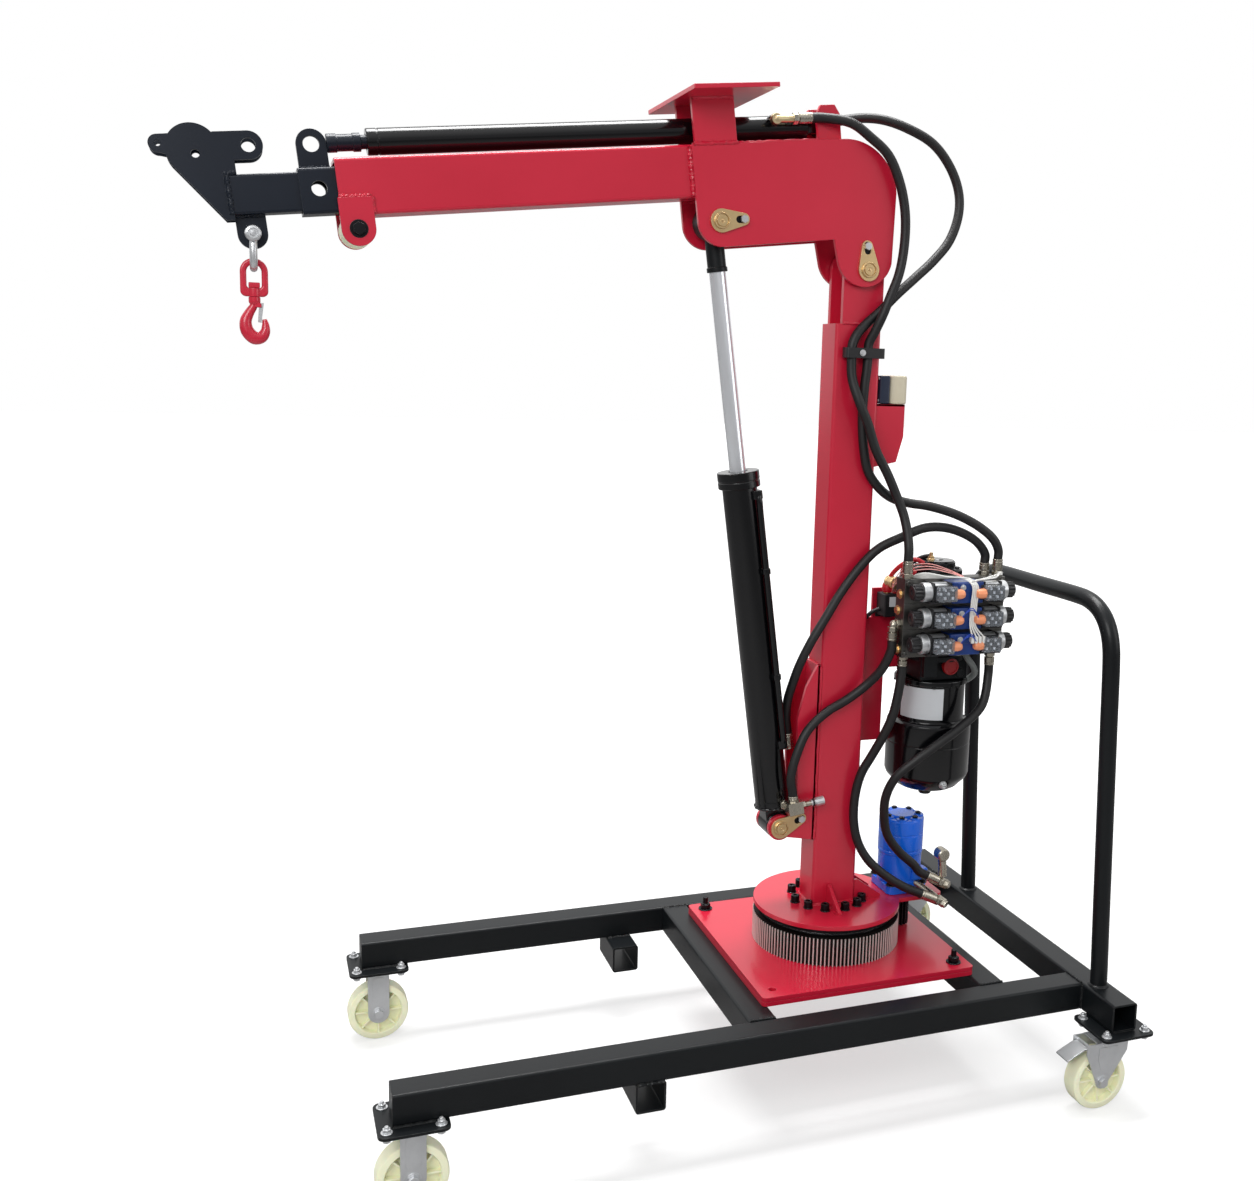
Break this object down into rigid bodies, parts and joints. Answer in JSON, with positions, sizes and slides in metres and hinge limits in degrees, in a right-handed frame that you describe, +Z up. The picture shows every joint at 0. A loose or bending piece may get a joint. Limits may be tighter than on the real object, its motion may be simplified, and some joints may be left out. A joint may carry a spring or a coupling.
{
  "type": "mobile hydraulic crane",
  "caption": "Wheeled electric-hydraulic crane: slewing mast, luffing telescopic boom with hook, lift cylinder, power unit with valves, push handle and nylon casters.",
  "frame": {"origin": "middle of the crane's box on the floor, between the wheels", "axes": "+X along the boom towards the hook, +Y to the crane's left side, +Z up"},
  "size_m": [1.8788, 0.972, 2.0479],
  "materials": {
    "red_paint": "gloss crimson paint",
    "black_paint": "satin black paint",
    "zinc_plate": "bright zinc plate",
    "nylon": "cream cast nylon",
    "gear_steel": "machined steel, lightly oiled",
    "dark_steel": "dark oiled steel",
    "chrome_rod": "polished chrome rod",
    "yellow_zinc": "yellow zinc plate",
    "blue_enamel": "gloss blue enamel",
    "navy_enamel": "satin navy enamel",
    "silver_block": "machined aluminium",
    "black_plastic": "moulded black plastic",
    "control_housing": "dark blue plastic",
    "hose_rubber": "plain black rubber"
  },
  "bodies": {
    "chassis": {"leg_left": "black_paint", "leg_right": "black_paint", "rear_crossbar": "black_paint", "subframe": "red_paint", "turret_plate": "red_paint", "push_handle": "black_paint", "ring_gear": "gear_steel", "caster_fork_front_left": "zinc_plate", "caster_fork_front_right": "zinc_plate", "caster_plate_rear_left": "zinc_plate", "caster_plate_rear_right": "zinc_plate"},
    "tower": {"turntable": "red_paint", "bearing_race": "dark_steel", "slew_motor": "blue_enamel", "mast_column": "red_paint", "control_box": "control_housing", "hose_clamp": "black_plastic", "cylinder_bracket": "red_paint", "lift_base_pin": "yellow_zinc", "power_unit_plate": "red_paint", "pump_block": "black_paint", "oil_tank": "black_paint", "pump_motor": "black_paint", "valve_manifold": "silver_block", "valve_top": "navy_enamel", "valve_middle": "navy_enamel", "valve_bottom": "navy_enamel", "contactor": "black_plastic", "hose_boom_near": "hose_rubber", "hose_boom_far": "hose_rubber", "hose_lift_rod_side": "hose_rubber", "hose_lift_base": "hose_rubber", "hose_slew_lower": "hose_rubber", "hose_slew_upper": "hose_rubber"},
    "pinion": {"slew_pinion": "dark_steel"},
    "boom": {"boom_tube": "red_paint", "boom_cheeks": "red_paint", "boom_pivot_pin": "yellow_zinc", "lift_top_pin": "yellow_zinc", "winch_plate": "red_paint", "extension_barrel": "black_paint"},
    "roller": {"boom_roller": "nylon"},
    "middle_section": {"mid_boom": "black_paint", "extension_rod": "black_paint"},
    "inner_section": {"inner_boom": "black_paint"},
    "lift_cylinder": {"lift_barrel": "black_paint"},
    "lift_piston": {"lift_rod": "chrome_rod"},
    "flow_valve": {"flow_knob": "zinc_plate"},
    "shackle_ring": {"shackle": "zinc_plate"},
    "link_ring": {"swivel_link": "red_paint"},
    "hook_body": {"hook": "red_paint"},
    "latch_body": {"hook_latch": "zinc_plate"},
    "front_left_wheel": {"wheel_front_left": "nylon"},
    "front_right_wheel": {"wheel_front_right": "nylon"},
    "rear_left_swivel": {"caster_fork_rear_left": "zinc_plate"},
    "rear_right_swivel": {"caster_fork_rear_right": "zinc_plate"},
    "rear_left_wheel": {"wheel_rear_left": "nylon"},
    "rear_right_wheel": {"wheel_rear_right": "nylon"},
    "rear_left_pedal": {"brake_pedal_left": "zinc_plate"},
    "rear_right_pedal": {"brake_pedal_right": "zinc_plate"}
  },
  "joints": [
    {"name": "slew", "type": "hinge", "parent": "chassis", "child": "tower", "pos_m": [-0.39637, 0, 0.335], "axis": [0, 0, 1], "continuous": true},
    {"name": "pinion_spin", "type": "hinge", "parent": "tower", "child": "pinion", "pos_m": [-0.58242, -0.00975, 0.29], "axis": [0, 0, 1], "continuous": true},
    {"name": "boom_luff", "type": "hinge", "parent": "tower", "child": "boom", "pos_m": [-0.40337, 0, 1.721], "axis": [0, -1, 0], "range_deg": [-6, 26], "deforming": ["hose_boom_near", "hose_boom_far"]},
    {"name": "lift_barrel_swing", "type": "hinge", "parent": "tower", "child": "lift_cylinder", "pos_m": [-0.26237, 0, 0.532], "axis": [0, -1, 0], "range_deg": [-0.8, 3.3], "deforming": ["hose_lift_rod_side", "hose_lift_base"]},
    {"name": "lift_rod_slide", "type": "slide", "parent": "lift_cylinder", "child": "lift_piston", "axis": [0.1423, 0, 0.9898], "range_m": [-0.03, 0.13]},
    {"name": "flow_knob_turn", "type": "hinge", "parent": "lift_cylinder", "child": "flow_valve", "pos_m": [-0.33444, 0.062, 0.59288], "axis": [0.9898, 0, -0.1423], "range_deg": [-150, 150]},
    {"name": "boom_extend", "type": "slide", "parent": "boom", "child": "middle_section", "axis": [0.9923, 0, -0.1236], "range_m": [0, 0.45]},
    {"name": "inner_extend", "type": "slide", "parent": "middle_section", "child": "inner_section", "axis": [0.9923, 0, -0.1236], "range_m": [-0.04, 0.3]},
    {"name": "roller_spin", "type": "hinge", "parent": "boom", "child": "roller", "pos_m": [0.60006, 0, 1.73508], "axis": [0, 1, 0], "continuous": true},
    {"name": "shackle_swing", "type": "hinge", "parent": "inner_section", "child": "shackle_ring", "pos_m": [0.7762, 0, 1.71717], "axis": [0, 1, 0], "range_deg": [-60, 60]},
    {"name": "link_swing", "type": "hinge", "parent": "shackle_ring", "child": "link_ring", "pos_m": [0.7762, 0, 1.65967], "axis": [0, 1, 0], "range_deg": [-35, 35]},
    {"name": "hook_swivel", "type": "hinge", "parent": "link_ring", "child": "hook_body", "pos_m": [0.7762, 0, 1.6], "axis": [0, 0, 1], "continuous": true},
    {"name": "latch_hinge", "type": "hinge", "parent": "hook_body", "child": "latch_body", "pos_m": [0.7667, 0, 1.5958], "axis": [0, -1, 0], "range_deg": [0, 14], "stiffness_Nm_per_rad": 0.02, "springref_deg": -17.19},
    {"name": "front_left_roll", "type": "hinge", "parent": "chassis", "child": "front_left_wheel", "pos_m": [0.55063, 0.32, 0.065], "axis": [0, 1, 0], "continuous": true},
    {"name": "front_right_roll", "type": "hinge", "parent": "chassis", "child": "front_right_wheel", "pos_m": [0.55063, -0.32, 0.065], "axis": [0, 1, 0], "continuous": true},
    {"name": "rear_left_steer", "type": "hinge", "parent": "chassis", "child": "rear_left_swivel", "pos_m": [-0.87637, 0.426, 0.155], "axis": [0, 0, 1], "continuous": true},
    {"name": "rear_right_steer", "type": "hinge", "parent": "chassis", "child": "rear_right_swivel", "pos_m": [-0.87637, -0.426, 0.155], "axis": [0, 0, 1], "continuous": true},
    {"name": "rear_left_roll", "type": "hinge", "parent": "rear_left_swivel", "child": "rear_left_wheel", "pos_m": [-0.83837, 0.426, 0.065], "axis": [0, 1, 0], "continuous": true},
    {"name": "rear_right_roll", "type": "hinge", "parent": "rear_right_swivel", "child": "rear_right_wheel", "pos_m": [-0.83837, -0.426, 0.065], "axis": [0, 1, 0], "continuous": true},
    {"name": "rear_left_brake", "type": "hinge", "parent": "rear_left_swivel", "child": "rear_left_pedal", "pos_m": [-0.80637, 0.426, 0.1414], "axis": [0, 1, 0], "range_deg": [0, 15]},
    {"name": "rear_right_brake", "type": "hinge", "parent": "rear_right_swivel", "child": "rear_right_pedal", "pos_m": [-0.80637, -0.426, 0.1414], "axis": [0, 1, 0], "range_deg": [0, 15]}
  ],
  "couplings": [
    {"joint": "pinion_spin", "follows": "slew", "ratio": 6.6667},
    {"joint": "lift_barrel_swing", "follows": "boom_luff", "ratio": 0.125},
    {"joint": "lift_rod_slide", "follows": "boom_luff", "m_per_rad": 0.28361}
  ]
}
